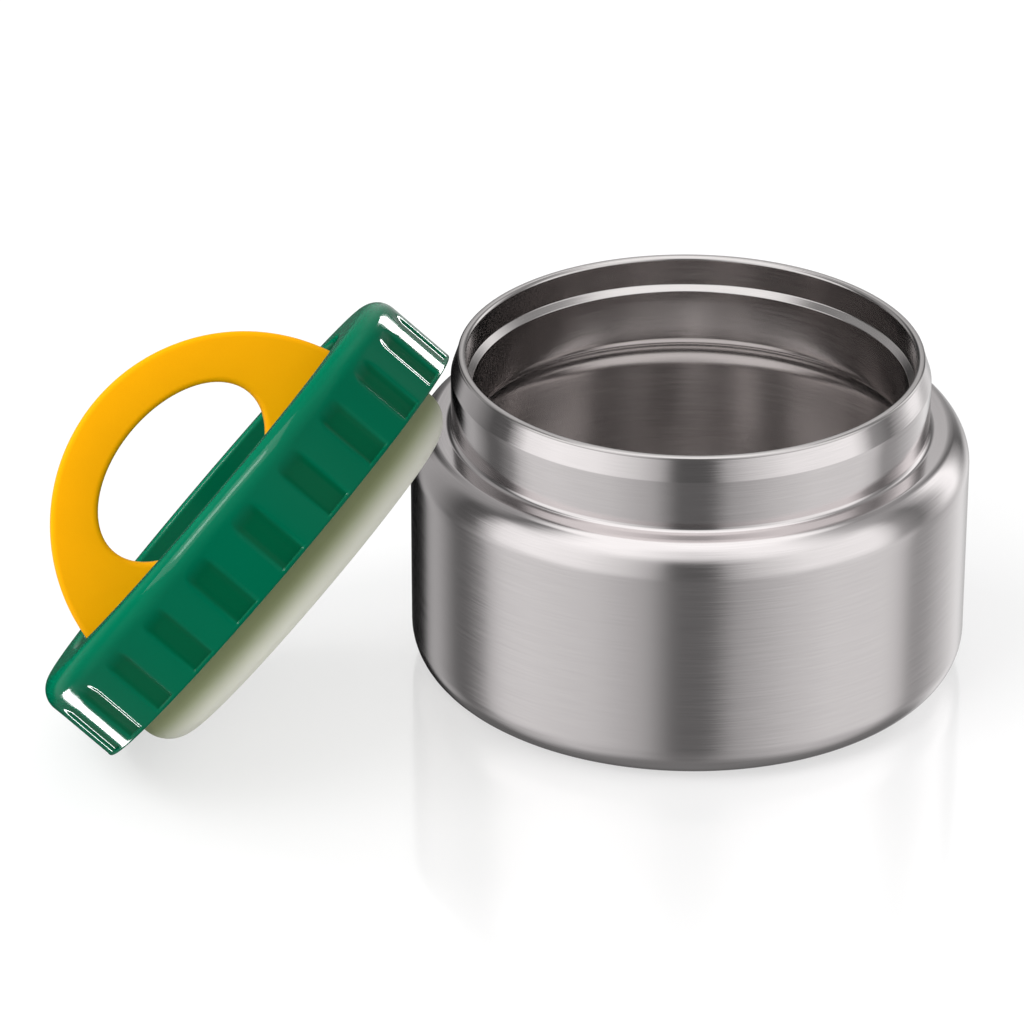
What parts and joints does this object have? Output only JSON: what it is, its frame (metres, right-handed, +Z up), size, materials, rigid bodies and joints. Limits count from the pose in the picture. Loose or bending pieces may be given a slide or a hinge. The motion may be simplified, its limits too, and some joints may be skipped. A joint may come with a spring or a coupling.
{
  "type": "insulated food jar",
  "caption": "Squat double-walled steel food jar with a wide mouth; its fluted push-on lid with a folding arched handle stands beside it, leaning on the shoulder.",
  "frame": {"origin": "centre of the jar's foot ring, on the surface it stands on", "axes": "+Z up along the jar's axis; the lid leans against the jar on the -X side; +Y to the back"},
  "size_m": [0.1796, 0.1385, 0.0888],
  "materials": {
    "brushed_steel": "satin",
    "vessel_steel": "gloss",
    "solder": "gloss",
    "getter_alloy": "matte",
    "foil": "gloss",
    "green_plastic": "gloss",
    "milky_plastic": "satin",
    "foam": "matte",
    "silicone": "satin",
    "yellow_plastic": "satin",
    "pin_steel": "gloss"
  },
  "bodies": {
    "jar": {"outer_shell": "brushed_steel", "inner_vessel": "vessel_steel", "shell_base": "brushed_steel", "base_cover": "brushed_steel", "seal_bead": "solder", "getter": "getter_alloy", "radiation_foil": "foil"},
    "lid": {"cap": "green_plastic", "stopper": "milky_plastic", "stopper_foam": "foam", "stopper_gasket": "silicone", "pivot_pin_left": "pin_steel", "pivot_pin_right": "pin_steel"},
    "handle": {"handle": "yellow_plastic"}
  },
  "joints": [
    {"name": "lid_lift", "type": "slide", "parent": "jar", "child": "lid", "axis": [0, 0, 1], "range_m": [0, 0.12]},
    {"name": "handle_hinge", "type": "hinge", "parent": "lid", "child": "handle", "pos_m": [-0.09103, -0.03124, 0.04879], "axis": [0.6433, 0.4014, 0.652], "range_deg": [-90, 90]}
  ]
}
